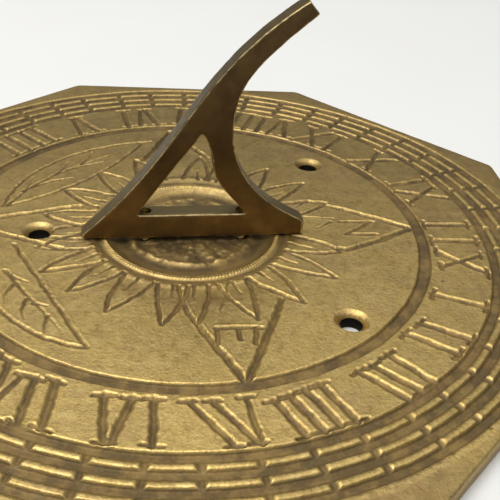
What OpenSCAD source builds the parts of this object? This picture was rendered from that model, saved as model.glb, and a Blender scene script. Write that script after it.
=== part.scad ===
// Garden sundial: an octagonal cast brass dial plate with sunk hour rings,
// Roman hour numerals, a compass star, sun rays and leaves round a dished
// medallion, and a cast brass gnomon held from below by two machine screws.
//
// Millimetres. Origin at the centre of the plate's underside, +Z up,
// +Y to the noon side (XII), +X to the evening side (VI).

/* [Dial plate] */
// Width of the octagonal plate across its flats
across_flats = 200; // [198:1:240]
// Thickness of the plate
plate_t = 4.5; // [4.2:0.1:8]
// Width of the bevel round the plate's upper edge
edge_bevel = 0.9; // [0.3:0.1:1.5]

/* [Rings and hours] */
// Depth of the ring grooves
ring_depth = 0.9; // [0.4:0.1:1.4]
// Depth of the numerals, ticks, rays and leaf lines
line_depth = 0.7; // [0.3:0.1:1.2]
// Middle radius of the ring groove inside the numerals
inner_ring_r = 64.5; // [62:0.5:66]
// Width of the ring groove inside the numerals
inner_ring_w = 3.6; // [1:0.1:4]
// Middle radius of the first of the four outer ring grooves
outer_ring_r = 83.3; // [82:0.1:85]
// Distance from one outer ring groove to the next
ring_pitch = 4.2; // [3:0.1:4.5]
// Width of each outer ring groove
outer_ring_w = 2.7; // [1:0.1:3]
// Number of ticks round the outer rings
tick_count = 48; // [24:12:96]
// Height of the numerals, along the dial's radius
numeral_h = 13.4; // [8:0.1:14]

/* [Medallion] */
// Outer radius of the moulding round the medallion
medallion_r = 28; // [26:0.5:30]
// Radius of the roped bead
bead_r = 24; // [23:0.5:25]
// Depth of the dish inside the bead
dish_depth = 1.7; // [0.8:0.1:1.9]
// Number of sun rays round the medallion
ray_count = 20; // [12:4:32]
// Radius that the rays' tips reach
ray_tip_r = 43; // [36:1:46]

/* [Fixing holes] */
// Distance between the two northern fixing holes
hole_gap = 80; // [78:0.5:82]
// How far their middle lies east of the plate's centre
hole_pair_x = 1.2; // [0:0.1:2]
// How far they lie north of the plate's centre
hole_pair_y = 38.1; // [36:0.1:40]
// How far the southern fixing hole lies east of the plate's centre
hole_south_x = 3.2; // [2:0.1:4]
// How far it lies south of the plate's centre
hole_south_y = 40.7; // [39:0.1:42]
// Diameter of each fixing hole
hole_d = 5.6; // [3.5:0.1:6]
// Diameter of each countersink at the plate's face
sink_d = 9; // [8:0.1:10]

/* [Gnomon] */
// Thickness of the gnomon
gnomon_t = 5.5; // [5:0.1:7]
// Length of the gnomon's foot
foot_len = 60.4; // [58:0.1:62]
// Radius of the foot's four upright corners
corner_r = 1.5; // [0.5:0.1:2.5]
// Height of the bar under the gnomon's window
bar_h = 7; // [5:0.1:7.5]
// Angle by which the gnomon is turned west of north
gnomon_turn = 4; // [0:0.5:6]
// How far the middle of the gnomon's foot stands east of the plate's centre
gnomon_x = 2.9; // [0:0.1:4]
// How far it stands north of the plate's centre
gnomon_y = 0.8; // [0:0.1:2]

/* [Gnomon screws] */
// Distance between the two screws
screw_gap = 26; // [22:0.5:28]
// Diameter of the tapped holes in the gnomon
tap_d = 3.3; // [2.5:0.1:3.3]
// Diameter of the screws' shanks
shank_d = 4; // [3:0.1:4]
// Diameter of the screws' heads
head_d = 7.6; // [6:0.1:8]
// Length of the screws over their heads
screw_len = 10; // [8:0.5:11]

/* [Hidden] */

$fn = 96;
CUT = 1;                                  // how far a cutter runs past a face
HALF = across_flats / 2;                  // from the centre to a flat
BRASS = [0.66, 0.55, 0.30];
PATINA = [0.36, 0.26, 0.13];
SCREW_BRASS = [0.72, 0.62, 0.38];

LINE_W = 1.5;                             // a fine engraved line
STEM_W = 2.2;                             // the thick stem of a numeral
BAND_R = 73.6;                            // middle radius of the numeral band
TICK_OUT = outer_ring_r + 3 * ring_pitch + outer_ring_w / 2;

THREAD_GAP = 0.03;                        // the thread is drawn at its root
SHANK_GAP = 0.2;                          // clearance round the shank
HEAD_SINK = 0.2;                          // how far a head lies inside the plate
HEAD_H = (head_d - shank_d) / 2;          // a 90 degree head
SHANK_TOP = plate_t - dish_depth - 0.1;   // where the plain shank ends
SLOT_W = 1.1;
SLOT_H = 0.9;
SPAN = foot_len / 2;                      // middle of the foot
DRAWN_LEN = 59.7;                         // foot length the outline is drawn for

// The places of the three fixing holes.
FIXINGS = [
    [hole_pair_x + hole_gap / 2, hole_pair_y, 0],
    [hole_pair_x - hole_gap / 2, hole_pair_y, 0],
    [hole_south_x, -hole_south_y, 0]
];

// Hours: numeral and the direction it stands in, counted from east to north.
HOURS = [
    ["XII", 84.5], ["I", 62.8], ["II", 49.6], ["III", 36.1], ["IIII", 19.9],
    ["V", 5], ["VI", -10], ["VII", -27.6], ["VIII", -46],
    ["XI", 108], ["X", 125.5], ["IX", 143], ["VIII", 160], ["VII", 177],
    ["VI", 193.5], ["V", 209.5], ["IIII", 226]
];

// ---- shared helpers -------------------------------------------------------

function bez(p, t) =
    pow(1 - t, 3) * p[0] + 3 * pow(1 - t, 2) * t * p[1]
    + 3 * (1 - t) * t * t * p[2] + pow(t, 3) * p[3];

function curve(p, n) = [for (i = [0:n]) bez(p, i / n)];

function side(a, b, w) = w / 2 * [a[1] - b[1], b[0] - a[0]] / norm(b - a);

// A straight engraved line of width w.
module line2(a, b, w = LINE_W)
    polygon([a + side(a, b, w), a - side(a, b, w),
             b - side(a, b, w), b + side(a, b, w)]);

// A curved engraved line of width w along a cubic curve.
module curve2(p, w = LINE_W, n = 7) {
    c = curve(p, n);
    s = [for (i = [0:n]) side(c[max(i - 1, 0)], c[min(i + 1, n)], w)];
    polygon(concat([for (i = [0:n]) c[i] + s[i]],
                   [for (i = [n:-1:0]) c[i] - s[i]]));
}

// ---- numerals -------------------------------------------------------------

function letter_w(ch) = ch == "I" ? 4.7 : ch == "V" ? 9.2 : 11;

function word_w(s, n) = n == 0 ? 0 : letter_w(s[n - 1]) + word_w(s, n - 1);

module serif(x, y, w)
    line2([x - w / 2, y], [x + w / 2, y], LINE_W);

module letter(ch) {
    h = numeral_h / 2;
    if (ch == "I") {
        line2([0, -h], [0, h], STEM_W);
        serif(0, h - LINE_W / 2, 4.2);
        serif(0, -h + LINE_W / 2, 4.2);
    }
    if (ch == "V") {
        line2([-3.2, h], [-0.6, -h], STEM_W);
        line2([3, h], [0.6, -h], LINE_W);
        serif(-3.2, h - LINE_W / 2, 4);
        serif(2.8, h - LINE_W / 2, 3);
    }
    if (ch == "X") {
        line2([4, h], [-4, -h], STEM_W);
        line2([-3.6, h], [3.6, -h], LINE_W);
        serif(-3.6, h - LINE_W / 2, 3.4);
        serif(3.6, -h + LINE_W / 2, 3.4);
    }
}

// One hour: its letters side by side, with their feet outwards.
module hour(s, direction)
    rotate(direction)
        translate([BAND_R, 0])
            rotate(90)
                for (i = [0:len(s) - 1])
                    translate([word_w(s, i) + letter_w(s[i]) / 2
                               - word_w(s, len(s)) / 2, 0])
                        letter(s[i]);

module hours2()
    for (h = HOURS)
        hour(h[0], h[1]);

module ticks2()
    for (i = [0:tick_count - 1])
        rotate(360 / tick_count * (i + 0.15))
            line2([outer_ring_r - outer_ring_w / 2, 0], [TICK_OUT, 0]);

// ---- compass star, rays and leaves ----------------------------------------

// A star point: two lines that run together at its tip.
module star_point(direction, tip_r, half_w, base_r)
    rotate(direction) {
        line2([base_r, half_w], [tip_r, 0]);
        line2([base_r, -half_w], [tip_r, 0]);
    }

module star2() {
    star_point(10, 62.5, 11, 41);
    star_point(92, 61, 12.5, 38);
    star_point(186, 61, 11, 41);
    star_point(271, 61, 10.5, 33);
    line2([-15, 35], [-12.5, 40]);
    line2([11, 42], [6, 33]);
}

module letters2() {
    translate([44.5, 10.5]) {
        line2([-0.5, -5.5], [-0.5, 5.5]);
        for (y = [-5, 0, 5])
            line2([0, y], [5.5, y]);
    }
    translate([-0.5, 47]) {
        line2([-3.4, -5], [-3.4, 5]);
        line2([3.4, -5], [3.4, 5]);
        line2([-3.4, 5], [3.4, -5]);
    }
}

function on_star(a) =
    min([for (d = [10, 92, 186, 274]) abs((a - d + 540) % 360 - 180)]) < 8;

module rays2()
    for (i = [0:ray_count - 1]) {
        a = 360 / ray_count * (i + 0.5);
        if (!on_star(a))
            rotate(a) {
                line2([medallion_r + 2, 3.4], [ray_tip_r, 0], 1.2);
                line2([medallion_r + 2, -3.4], [ray_tip_r, 0], 1.2);
            }
    }

module leaves2() {
    curve2([[-53, -13], [-49, -32], [-36, -50], [-12, -52]]);
    curve2([[-51, -15], [-33, -22], [-18, -36], [-11, -49]]);
    curve2([[-45, -22], [-35, -33], [-26, -42], [-13, -50]], 1.1);
    curve2([[52, -23], [40, -30], [22, -36], [10, -47]]);
    curve2([[51, -25], [49, -36], [42, -43], [34, -52]]);
    curve2([[46, -30], [36, -38], [28, -44], [14, -52]], 1.1);
}

// ---- nodes ----------------------------------------------------------------

module ring_groove(r, w)
    translate([0, 0, plate_t])
        rotate_extrude()
            polygon([[r - w / 2, CUT], [r - w / 2, -ring_depth],
                     [r + w / 2, -ring_depth], [r + w / 2, CUT]]);

// The dish inside the bead, and the hollow moulding outside it.
module medallion_cut()
    translate([0, 0, plate_t]) {
        rotate_extrude()
            polygon([[0, CUT], [0, -dish_depth + 0.4],
                     [bead_r - 7, -dish_depth + 0.4],
                     [bead_r - 5, -dish_depth], [bead_r - 3.4, -dish_depth],
                     [bead_r - 0.6, 0], [bead_r - 0.6, CUT]]);
        rotate_extrude()
            polygon([[bead_r + 0.6, CUT], [bead_r + 0.6, 0],
                     [bead_r + 1.6, -0.8], [medallion_r - 0.6, -0.8],
                     [medallion_r, 0], [medallion_r, CUT]]);
    }

// Cuts a drawing of lines into the plate's face.
module engraved()
    translate([0, 0, plate_t - line_depth])
        linear_extrude(line_depth + CUT)
            children();

// A countersunk fixing hole, open right through the plate.
module fixing_hole() {
    sink_h = (sink_d - hole_d) / 2;
    translate([0, 0, -CUT])
        cylinder(d = hole_d, h = plate_t + 2 * CUT);
    translate([0, 0, plate_t - sink_h])
        cylinder(d1 = hole_d, d2 = sink_d + 2 * CUT, h = sink_h + CUT);
}

// The places of the two gnomon screws.
module at_screws()
    translate([gnomon_x, gnomon_y, 0])
        rotate(gnomon_turn)
            for (y = [-screw_gap / 2, screw_gap / 2])
                translate([0, y, 0])
                    children();

// A clearance hole whose countersink the screw's head seats in.
module screw_hole() {
    translate([0, 0, -CUT])
        cylinder(r = shank_d / 2 + SHANK_GAP, h = plate_t + CUT);
    translate([0, 0, HEAD_SINK - CUT])
        cylinder(r1 = head_d / 2 + CUT, r2 = shank_d / 2, h = HEAD_H + CUT);
}

module dial_plate() color(BRASS)
    difference() {
        linear_extrude(plate_t)
            rotate(22.5)
                circle(r = HALF / cos(22.5), $fn = 8);
        for (i = [0:7])
            rotate(45 * i)
                translate([HALF - edge_bevel, -HALF, plate_t])
                    rotate([0, 45, 0])
                        cube([4 * edge_bevel, 2 * HALF, 4 * edge_bevel]);
        ring_groove(inner_ring_r, inner_ring_w);
        for (i = [0:3])
            ring_groove(outer_ring_r + i * ring_pitch, outer_ring_w);
        medallion_cut();
        engraved() hours2();
        engraved() ticks2();
        engraved() star2();
        engraved() letters2();
        engraved() rays2();
        engraved() leaves2();
        for (place = FIXINGS)
            translate(place)
                fixing_hole();
        at_screws()
            screw_hole();
    }

// Fits the drawn outline to the length of the foot.
function fitted(points) =
    [for (p = points) [p[0] * foot_len / DRAWN_LEN, p[1]]];

// The gnomon's side outline: x runs along the foot from south to north.
module gnomon_outline()
    difference() {
        polygon(fitted(concat(
            [[0, 0]],
            curve([[0, 1], [28.2, 26.5], [27, 44.5], [55.2, 64.1]], 16),
            curve([[57.8, 61], [45.5, 49.7], [38.3, 44.7], [39.1, 29]], 12),
            curve([[39.2, 28], [42.4, 8.2], [62.5, 5.2], [59.7, 3]], 12),
            [[59.7, 0]])));
        polygon(fitted(concat(
            [[14.6, bar_h]],
            curve([[31.3, 30.5], [37.4, 19.2], [29.4, 21.8],
                   [43.6, bar_h]], 10))));
    }

// The upright block, with rounded corners, that the gnomon is cut from.
module gnomon_block() {
    x = gnomon_t / 2 - corner_r;
    y = SPAN - corner_r;
    translate([-gnomon_t, -y, -CUT])
        cube([2 * gnomon_t, 2 * y, 70]);
    translate([-x, -SPAN, -CUT])
        cube([2 * x, foot_len, 70]);
    for (u = [-x, x], v = [-y, y])
        translate([u, v, -CUT])
            cylinder(r = corner_r, h = 70);
}

module gnomon() color(PATINA)
    translate([gnomon_x, gnomon_y, plate_t])
        rotate(gnomon_turn)
            difference() {
                intersection() {
                    translate([gnomon_t / 2, -SPAN, 0])
                        rotate([90, 0, -90])
                            mirror([1, 0, 0])
                                linear_extrude(gnomon_t)
                                    gnomon_outline();
                    gnomon_block();
                }
                for (y = [-screw_gap / 2, screw_gap / 2])
                    translate([0, y, -CUT])
                        cylinder(d = tap_d, h = bar_h + 2 * CUT);
            }

// One slotted countersunk machine screw, head down.
module screw()
    difference() {
        union() {
            translate([0, 0, HEAD_SINK])
                cylinder(d1 = head_d, d2 = shank_d, h = HEAD_H);
            translate([0, 0, HEAD_SINK + HEAD_H / 2])
                cylinder(d = shank_d, h = SHANK_TOP - HEAD_SINK - HEAD_H / 2);
            translate([0, 0, HEAD_SINK + HEAD_H / 2])
                cylinder(r = tap_d / 2 - THREAD_GAP, h = screw_len - HEAD_H / 2);
        }
        translate([-head_d, -SLOT_W / 2, -CUT])
            cube([2 * head_d, SLOT_W, CUT + HEAD_SINK + SLOT_H]);
    }

module gnomon_screws() color(SCREW_BRASS)
    at_screws()
        screw();

dial_plate();
gnomon();
gnomon_screws();
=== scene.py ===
"""Garden sundial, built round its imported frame.

A cast brass plate with hour rings, Roman numerals, a compass star, sun rays and leaves
round a dished medallion, and a cast brass gnomon held from below by two machine screws.
Drawn in millimetres on the plate's plan, where +X is the evening side (VI) and +Y the noon
side (XII), and built in metres.
"""

import logging
import math
from dataclasses import dataclass, field
from enum import Enum

import bpy
import numpy as np
from mathutils import Matrix, Vector


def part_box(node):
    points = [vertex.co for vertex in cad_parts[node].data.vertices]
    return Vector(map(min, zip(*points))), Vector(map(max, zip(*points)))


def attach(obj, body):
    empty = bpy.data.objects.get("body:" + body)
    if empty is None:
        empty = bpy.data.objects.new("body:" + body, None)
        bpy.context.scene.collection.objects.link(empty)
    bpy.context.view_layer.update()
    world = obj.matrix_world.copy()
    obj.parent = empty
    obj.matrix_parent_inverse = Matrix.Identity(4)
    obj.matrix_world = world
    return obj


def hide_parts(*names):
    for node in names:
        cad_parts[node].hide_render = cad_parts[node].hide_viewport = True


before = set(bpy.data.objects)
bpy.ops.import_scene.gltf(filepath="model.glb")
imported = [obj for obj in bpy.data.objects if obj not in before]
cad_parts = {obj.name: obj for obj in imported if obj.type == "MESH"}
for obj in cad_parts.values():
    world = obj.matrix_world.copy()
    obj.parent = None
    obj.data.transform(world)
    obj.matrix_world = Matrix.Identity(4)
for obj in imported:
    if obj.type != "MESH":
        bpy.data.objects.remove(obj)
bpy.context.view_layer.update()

LOG = logging.getLogger("sundial")
Array = np.ndarray
Point = tuple[float, float]
Colour = tuple[float, float, float, float]
Place = tuple[float, float, float]
Piece = bpy.types.Object
Finish = bpy.types.Material
Socket = bpy.types.NodeSocket

MM = 0.001
FINE_STEPS = 1440
FACE = 4.5
PLATE = "dial_plate"
GNOMON = "gnomon"
SCREWS = "gnomon_screws"
BODY = "root"
NEAR_CLIP = 0.01
FAR_CLIP = 50.0

# The middle of the gnomon's foot on the plan, its turn in degrees, and its screws' gap and heads.
FOOT_PLACE = (2.9, 0.8)
FOOT_TURN = 4.0
SCREW_GAP = 26.0
SCREW_HEAD_R = 3.8
SCREW_HEAD_SINK = 0.2


# ---- small helpers


def ease(low: float, high: float, value: Array) -> Array:
    """Rises smoothly from 0 at low to 1 at high."""
    share = np.clip((value - low) / (high - low), 0.0, 1.0)
    return share * share * (3.0 - 2.0 * share)


def bezier(corners: tuple[Point, ...], count: int) -> Array:
    """Gives points along a cubic curve.

    Args:
        corners: The curve's four control points.
        count: How many steps the curve is cut into.

    Returns:
        The points, one row each.
    """
    t = np.linspace(0.0, 1.0, count + 1)[:, None]
    a, b, c, d = (np.array(corner, float) for corner in corners)
    return (1 - t) ** 3 * a + 3 * (1 - t) ** 2 * t * b + 3 * (1 - t) * t * t * c + t**3 * d


def even(start: float, end: float, step: float) -> list[float]:
    """Gives evenly spaced numbers, both ends among them, about step apart."""
    count = max(1, round((end - start) / step))
    return list(np.linspace(start, end, count + 1))


def ways(degrees: float) -> tuple[Array, Array]:
    """Gives the unit way in this direction from +X towards +Y, and the way a quarter turn on."""
    turn = math.radians(degrees)
    out = np.array([math.cos(turn), math.sin(turn)])
    return out, np.array([-out[1], out[0]])


def screw_places() -> list[Point]:
    """Gives where the gnomon's screws stand on the plan, the northern one first."""
    _, north = ways(FOOT_TURN)
    return [tuple(np.round(FOOT_PLACE + reach * north, 3)) for reach in (SCREW_GAP / 2, -SCREW_GAP / 2)]


def switch(mode: str) -> None:
    """Goes into edit mode or back to object mode."""
    bpy.ops.object.mode_set(mode=mode)


def newest(name: str) -> Piece:
    """Gives the object that was just added, named with its mesh."""
    piece = bpy.context.object
    piece.name = name
    piece.data.name = name
    return piece


def select_only(piece: Piece) -> None:
    """Leaves piece as the one selected and active object."""
    bpy.ops.object.select_all(action="DESELECT")
    piece.select_set(True)
    bpy.context.view_layer.objects.active = piece


def read_points(piece: Piece) -> Array:
    """Gives a piece's vertices in millimetres, one row each."""
    flat = np.empty(len(piece.data.vertices) * 3, np.float32)
    piece.data.vertices.foreach_get("co", flat)
    return flat.reshape(-1, 3).astype(float) / MM


def write_points(piece: Piece, points: Array) -> None:
    """Puts a piece's vertices at these places in millimetres."""
    piece.data.vertices.foreach_set("co", (points * MM).astype(np.float32).ravel())
    piece.data.update()


def read_normals(piece: Piece) -> Array:
    """Gives a piece's vertex normals, one row each."""
    flat = np.empty(len(piece.data.vertices) * 3, np.float32)
    piece.data.vertex_normals.foreach_get("vector", flat)
    return flat.reshape(-1, 3).astype(float)


def write_attribute(piece: Piece, name: str, values: Array) -> None:
    """Keeps one number per vertex under a name that the finishes read."""
    layer = piece.data.attributes.new(name, "FLOAT", "POINT")
    layer.data.foreach_set("value", values.astype(np.float32))


def edit_selected(piece: Piece, parts: object, wanted: Array, mode: str) -> None:
    """Opens a piece in edit mode with only some of its faces or edges selected.

    Args:
        piece: The piece to edit.
        parts: Its faces or its edges.
        wanted: Whether each of them is selected.
        mode: The selection mode, FACE or EDGE.
    """
    select_only(piece)
    switch("EDIT")
    bpy.ops.mesh.select_mode(type=mode)
    bpy.ops.mesh.select_all(action="DESELECT")
    switch("OBJECT")
    parts.foreach_set("select", wanted)
    switch("EDIT")


def apply_place(piece: Piece) -> None:
    """Moves an object's place, turn and scale into its mesh."""
    select_only(piece)
    bpy.ops.object.transform_apply(location=True, rotation=True, scale=True)


def apply_modifier(piece: Piece, kind: str, **settings: object) -> None:
    """Adds a modifier with these settings and applies it at once.

    Args:
        piece: The piece that is changed.
        kind: Blender's name for the modifier.
        **settings: The modifier's values by name.
    """
    select_only(piece)
    modifier = piece.modifiers.new(kind.lower(), kind)
    for key, value in settings.items():
        setattr(modifier, key, value)
    bpy.ops.object.modifier_apply(modifier=modifier.name)


def cut_away(piece: Piece, cutter: Piece) -> None:
    """Cuts the cutter's shape out of a piece and throws the cutter away."""
    apply_modifier(piece, "BOOLEAN", operation="DIFFERENCE", solver="MANIFOLD", object=cutter)
    bpy.data.objects.remove(cutter)


def outward(piece: Piece) -> None:
    """Merges a piece's doubled vertices and turns its faces outwards."""
    select_only(piece)
    switch("EDIT")
    bpy.ops.mesh.select_all(action="SELECT")
    bpy.ops.mesh.remove_doubles(threshold=0.0006 * MM)
    bpy.ops.mesh.normals_make_consistent(inside=False)
    switch("OBJECT")


def finish_piece(
    piece: Piece, node: str, material: Finish, angle: float
) -> None:
    """Shades a piece, gives it its finish and hangs it on the frame.

    Args:
        piece: The finished mesh.
        node: The frame's node that it stands for.
        material: Its finish.
        angle: The angle in degrees past which an edge stays sharp.
    """
    piece.data.materials.clear()
    piece.data.materials.append(material)
    piece.data.polygons.foreach_set("material_index", [0] * len(piece.data.polygons))
    select_only(piece)
    bpy.ops.object.shade_smooth_by_angle(angle=math.radians(angle))
    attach(piece, BODY)
    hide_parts(node)
    piece.data.calc_loop_triangles()
    LOG.info("%s: %d triangles", piece.name, len(piece.data.loop_triangles))


def spin_profile(name: str, profile: Array, steps: int) -> Piece:
    """Turns a closed or open outline once round the upright axis.

    The outline starts as a small ring of vertices, which are set at their places and then
    swept round by a modifier.

    Args:
        name: The new piece's name.
        profile: Radius and height in millimetres, one row for each point.
        steps: How many steps the turn has.

    Returns:
        The new piece, with its faces outwards.
    """
    bpy.ops.mesh.primitive_circle_add(vertices=len(profile), radius=MM, fill_type="NOTHING")
    piece = newest(name)
    write_points(piece, np.column_stack([profile[:, 0], np.zeros(len(profile)), profile[:, 1]]))
    if profile[0, 0] == 0.0 and profile[-1, 0] == 0.0:
        last = {0, len(profile) - 1}
        wanted = [set(edge.vertices) == last for edge in piece.data.edges]
        edit_selected(piece, piece.data.edges, wanted, "EDGE")
        bpy.ops.mesh.delete(type="EDGE")
        switch("OBJECT")
    apply_modifier(
        piece, "SCREW", axis="Z", angle=math.tau, steps=steps, render_steps=steps,
        use_merge_vertices=True, merge_threshold=0.0006 * MM,
    )
    outward(piece)
    return piece


# ---- drawing on the plate


@dataclass(frozen=True)
class Grain:
    """Smooth, seeded unevenness over the plan, from -1 to 1.

    Attributes:
        size: The distance in millimetres over which it changes.
        seed: What fixes it, so that each run gives the same.
    """

    size: float
    seed: int
    cells: int = 128

    def at(self, x: Array, y: Array) -> Array:
        """Gives the unevenness at these points."""
        lattice = np.random.default_rng(self.seed).uniform(-1.0, 1.0, (self.cells, self.cells))
        u = x / self.size
        v = y / self.size
        i = np.floor(u).astype(int)
        j = np.floor(v).astype(int)
        fu = ease(0.0, 1.0, u - i)
        fv = ease(0.0, 1.0, v - j)
        i0, i1, j0, j1 = i % self.cells, (i + 1) % self.cells, j % self.cells, (j + 1) % self.cells
        low = lattice[i0, j0] * (1 - fu) + lattice[i1, j0] * fu
        high = lattice[i0, j1] * (1 - fu) + lattice[i1, j1] * fu
        return low * (1 - fv) + high * fv


@dataclass
class Marks:
    """What the drawing does to each point of the face.

    Attributes:
        sunk: How deep the point lies, in millimetres.
        soil: How soiled it is, from 0 to 1.
        lip: How far it is pushed up beside a line, in millimetres.
    """

    sunk: Array
    soil: Array
    lip: Array


@dataclass(frozen=True)
class Line:
    """One engraved line.

    Attributes:
        points: Its run over the plan.
        width: Its full width at its widest.
        depth: Its depth at its middle.
        flat: The share of its width that is a flat floor.
        start: The share of its width and depth at its first point.
        end: The share of its width and depth at its last point.
    """

    points: tuple[Point, ...] | Array
    width: float
    depth: float
    flat: float = 0.2
    start: float = 1.0
    end: float = 1.0

    HALO = 1.3
    LIP = 0.05

    def press(self, x: Array, y: Array, marks: Marks) -> None:
        """Presses the line into the face's marks.

        Args:
            x: Where the face's points are, east of the middle.
            y: Where they are, north of the middle.
            marks: What has been done to each point, which the line adds to.
        """
        run = np.array(self.points, float)
        reach = self.width / 2 + self.HALO
        low = run.min(0) - reach
        high = run.max(0) + reach
        near = np.flatnonzero((x > low[0]) & (x < high[0]) & (y > low[1]) & (y < high[1]))
        if near.size == 0:
            return
        spot = np.column_stack([x[near], y[near]])
        across = np.full(near.size, 9.0)
        gap = np.full(near.size, 9.0)
        strength = np.ones(near.size)
        shares = np.linspace(self.start, self.end, len(run))
        for a, b, s, e in zip(run[:-1], run[1:], shares[:-1], shares[1:]):
            way = b - a
            t = np.clip((spot - a) @ way / max(way @ way, 1e-9), 0.0, 1.0)
            away = np.hypot(*(spot - a - t[:, None] * way).T)
            share = s + (e - s) * t
            half = self.width / 2 * share
            closer = away / half < across
            across = np.where(closer, away / half, across)
            strength = np.where(closer, np.minimum(1.0, 0.35 + 0.65 * share), strength)
            gap = np.minimum(gap, away - half)
        pressed = self.depth * strength * (1.0 - ease(self.flat, 1.0, across))
        soiled = 1.0 - ease(-0.42 * self.width, 0.3, gap)
        lip = self.LIP * np.exp(-(((gap - 0.2) / 0.32) ** 2))
        marks.sunk[near] = np.maximum(marks.sunk[near], pressed)
        marks.soil[near] = np.maximum(marks.soil[near], soiled)
        marks.lip[near] = np.maximum(marks.lip[near], lip)


class Stroke(Enum):
    """How broad a numeral's stroke is cut, in millimetres."""

    THICK = 2.35
    THIN = 1.75


class Serif(Enum):
    """Which ends of a stroke carry a serif."""

    NONE = (False, False)
    INNER = (True, False)
    BOTH = (True, True)


@dataclass(frozen=True)
class Cut:
    """One stroke of a numeral, from its inner to its outer end."""

    inner: Point
    outer: Point
    stroke: Stroke = Stroke.THICK
    serif: Serif = Serif.BOTH


# The numerals' height, the radius of their middle, and their strokes' depth and flat share.
NUMERAL_H = 13.2
BAND_R = 73.6
NUMERAL_CUT = (0.68, 0.15)

# How far a serif reaches to each side in widths of its stroke, and how it is cut.
SERIF_REACH = 0.95
SERIF_CUT = (1.35, 0.578, 0.25)

# Each letter's width and its strokes, outwards from the plate's middle.
HALF_H = NUMERAL_H / 2
LETTERS: dict[str, tuple[float, tuple[Cut, ...]]] = {
    "I": (4.7, (Cut((0, HALF_H), (0, -HALF_H)),)),
    "V": (9.2, (
        Cut((-3.2, HALF_H), (-0.6, -HALF_H)),
        Cut((3, HALF_H), (0.6, -HALF_H), Stroke.THIN, Serif.INNER),
    )),
    "X": (11, (
        Cut((4, HALF_H), (-4, -HALF_H), Stroke.THICK, Serif.NONE),
        Cut((-3.6, HALF_H), (3.6, -HALF_H), Stroke.THIN),
    )),
}


@dataclass(frozen=True)
class Hour:
    """One hour's numeral.

    Attributes:
        numeral: Its letters.
        direction: The way outwards that its serifs lie across, in degrees counted from east to north.
            The pattern's letters stand on it too.
        cuts: Its strokes on the plan, where the hand that cut it left the pattern.
    """

    numeral: str
    direction: float
    cuts: tuple[Cut, ...] = ()

    def from_pattern(self) -> tuple[Cut, ...]:
        """Sets the pattern's letters side by side, with their feet outwards."""
        out, along = ways(self.direction)
        start = -sum(LETTERS[letter][0] for letter in self.numeral) / 2
        made = []
        for letter in self.numeral:
            width, cuts = LETTERS[letter]
            for cut in cuts:
                inner, outer = (
                    (BAND_R - v) * out + (start + width / 2 + u) * along for u, v in (cut.inner, cut.outer)
                )
                made.append(Cut(inner, outer, cut.stroke, cut.serif))
            start += width
        return tuple(made)

    def lines(self) -> list[Line]:
        """Gives the numeral's engraved lines, its serifs among them."""
        _, along = ways(self.direction)
        made = []
        for cut in self.cuts or self.from_pattern():
            made.append(Line((cut.inner, cut.outer), cut.stroke.value, *NUMERAL_CUT))
            reach = SERIF_REACH * cut.stroke.value * along
            for end, wanted in zip((cut.inner, cut.outer), cut.serif.value):
                if wanted:
                    made.append(Line((end - reach, end + reach), *SERIF_CUT))
        return made


HOURS = (
    Hour("XII", 84.5, (
        Cut((11, 67), (21, 78)),
        Cut((18, 66.5), (12.5, 79), Stroke.THIN),
        Cut((5.5, 67), (5.5, 80)),
        Cut((-3, 67), (-3, 80)),
    )),
    Hour("I", 62.8, (Cut((30.5, 61), (35.8, 73)),)),
    Hour("II", 49.6, (Cut((42, 54.5), (48.4, 65.6)), Cut((46, 50), (53.4, 60.6)))),
    Hour("III", 36.1, (
        Cut((53.5, 44), (63, 53)),
        Cut((57, 40), (65.7, 49.2)),
        Cut((59, 36.5), (68.4, 46)),
    )),
    Hour("IIII", 19.9, (
        Cut((63, 27), (74, 33.5)),
        Cut((64.7, 23.7), (75.3, 29.8)),
        Cut((66.3, 20.3), (76.7, 26.2)),
        Cut((68, 17), (78, 22.5)),
    )),
    Hour("V", 5, (
        Cut((67, 11), (80, 13.5), Stroke.THIN, Serif.INNER),
        Cut((68, -1), (80.6, 8), Stroke.THIN),
        Cut((68, 4), (79.6, 12.6), Stroke.THIN),
    )),
    Hour("VI", -6, (
        Cut((66.3, -18.2), (79.3, -17.4)),
        Cut((67.2, -12.5), (79.3, -16), Stroke.THICK, Serif.INNER),
        Cut((67.4, -8), (80.2, -8)),
    )),
    Hour("VII", -27.6, (
        Cut((62, -28.5), (75.5, -29.8)),
        Cut((61, -33), (74, -34.6)),
        Cut((60, -35.5), (69, -40.6), Stroke.THIN, Serif.INNER),
        Cut((55.5, -39), (69.6, -41.4)),
    )),
    Hour("VIII", -46),
    Hour("XI", 108),
    Hour("X", 125.5),
    Hour("IX", 143),
    Hour("VIII", 160),
    Hour("VII", 177),
    Hour("VI", 193.5),
    Hour("V", 209.5),
    Hour("IIII", 226),
)

# How each kind of line is cut: its width, depth and flat share, and its shares at its two ends.
# The rays' widths are drawn at random, and the rest of their cut is here.
STAR_CUT = (2.6, 0.85, 0.1, 0.75, 1)
EXTRA_CUT = (1.3, 0.4, 0.1, 0.8, 0.4)
INITIAL_CUT = (1.5, 0.5, 0.3)
LEAF_CUT = (1.7, 0.55, 0.1, 0.8, 0.7)
VEIN_CUT = (1.4, 0.42, 0.1, 1, 0.35)
RIB_CUT = (1.5, 0.4, 0.1, 1, 0.4)
RAY_CUT = (0.64, 0.1, 0.85, 0.8)
TICK_CUT = (2.3, 0.72, 0.2)

# Each ray: the direction of its tip in degrees and its tip's radius.
RAYS = (
    (-74, 41.6), (-59.3, 43), (-44.6, 42.2), (-27.8, 43), (-9.1, 43.6), (1.4, 42.8),
    (21, 43.6), (38.7, 44), (57.3, 43.8), (74, 42), (110, 42.4), (127, 43.4),
    (145, 42.6), (163, 43.2), (175, 42.4), (203, 42.8), (222, 41), (242, 41),
    (262.4, 40.6), (277, 41.8),
)

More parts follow.
